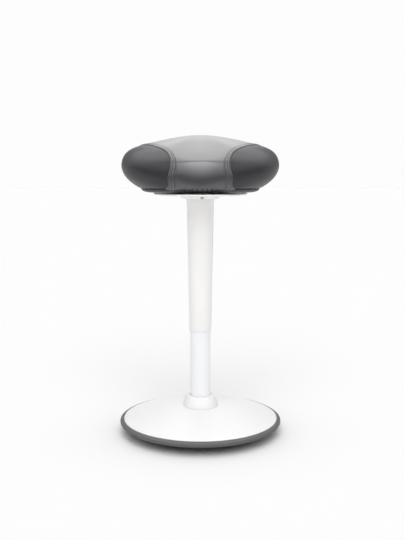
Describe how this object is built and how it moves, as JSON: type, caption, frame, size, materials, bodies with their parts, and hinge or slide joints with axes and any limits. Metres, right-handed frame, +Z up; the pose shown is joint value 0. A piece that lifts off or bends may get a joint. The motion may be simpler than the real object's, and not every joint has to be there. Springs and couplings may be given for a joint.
{
  "type": "perch stool",
  "caption": "Height-adjustable perch stool: trefoil black leather seat on a white gas-spring column, with a round rocking base and a lift ring under the seat.",
  "frame": {"origin": "centre of the sole's flat foot, on the floor", "axes": "+Z up along the column; -Y towards the front, the hollow side between the left and right lobes; +X to the right seen from the front"},
  "size_m": [0.4, 0.4003, 0.733],
  "materials": {
    "white_paint": "smooth white powder coat, light satin sheen",
    "white_plastic": "smooth moulded white, light satin sheen",
    "black_leather": "smooth fine-grained black leather, satin, sewn seams with black stitches",
    "black_plastic": "fine-textured black moulding",
    "dark_rubber": "charcoal rubber, soft sheen on its bevels",
    "sole_rubber": "matt black rubber",
    "foam": "open-cell moulded foam",
    "plywood": "raw birch plywood",
    "cast_iron": "raw casting with a thin dark wash",
    "zinc_steel": "bright zinc plate",
    "bright_steel": "ground and polished",
    "bush_plastic": "natural acetal"
  },
  "bodies": {
    "base": {"rocker_sole": "sole_rubber", "base_weight": "cast_iron", "base_cover": "white_paint", "rim_bumper": "dark_rubber", "hub_socket": "zinc_steel", "hub_bolt_1": "zinc_steel", "hub_bolt_2": "zinc_steel", "hub_bolt_3": "zinc_steel", "hub_bolt_4": "zinc_steel", "column_collar": "white_plastic", "collar_seal": "sole_rubber", "stand_tube": "white_paint", "guide_bush": "bush_plastic", "tube_end_plate": "zinc_steel", "thrust_washer_lower": "bright_steel", "thrust_bearing": "bright_steel"},
    "rod": {"thrust_washer_upper": "bright_steel", "rod_clip": "zinc_steel", "piston_rod": "bright_steel", "rod_buffer": "sole_rubber", "piston": "zinc_steel", "piston_seal": "sole_rubber", "piston_nut": "zinc_steel"},
    "seat": {"pressure_tube": "zinc_steel", "rod_gland": "zinc_steel", "valve_body": "zinc_steel", "taper_hub": "zinc_steel", "lever_bracket": "zinc_steel", "lever_pin": "bright_steel", "mount_plate": "zinc_steel", "plate_screw_1": "zinc_steel", "plate_screw_2": "zinc_steel", "plate_screw_3": "zinc_steel", "plate_screw_4": "zinc_steel", "tee_nut_1": "zinc_steel", "tee_nut_2": "zinc_steel", "tee_nut_3": "zinc_steel", "tee_nut_4": "zinc_steel", "mechanism_cover": "white_plastic", "column_sleeve": "white_plastic", "seat_pan": "black_plastic", "pan_screw_back": "zinc_steel", "pan_screw_left": "zinc_steel", "pan_screw_right": "zinc_steel", "seat_board": "plywood", "seat_foam": "foam", "centre_panel": "black_leather", "lobe_cap_back": "black_leather", "lobe_cap_left": "black_leather", "lobe_cap_right": "black_leather", "seam_strip_back": "black_leather", "seam_strip_left": "black_leather", "seam_strip_right": "black_leather"},
    "ring": {"release_ring": "white_plastic"},
    "lever": {"release_lever": "zinc_steel"},
    "valve": {"valve_pin": "bright_steel"}
  },
  "joints": [
    {"name": "seat_swivel", "type": "hinge", "parent": "base", "child": "rod", "pos_m": [0, 0, 0.0225], "axis": [0, 0, 1], "continuous": true},
    {"name": "seat_height", "type": "slide", "parent": "rod", "child": "seat", "axis": [0, 0, 1], "range_m": [-0.15, 0.05]},
    {"name": "ring_lift", "type": "slide", "parent": "seat", "child": "ring", "axis": [0, 0, 1], "range_m": [0, 0.0025], "stiffness_N_per_m": 2500, "springref_m": -0.002},
    {"name": "lever_rock", "type": "hinge", "parent": "seat", "child": "lever", "pos_m": [0, 0.022, 0.5947], "axis": [1, 0, 0], "range_deg": [0, 6.52]},
    {"name": "valve_press", "type": "slide", "parent": "seat", "child": "valve", "axis": [0, 0, 1], "range_m": [-0.00251, 0]}
  ],
  "couplings": [
    {"joint": "lever_rock", "follows": "ring_lift", "rad_per_m": 45.455},
    {"joint": "valve_press", "follows": "ring_lift", "ratio": -1}
  ]
}
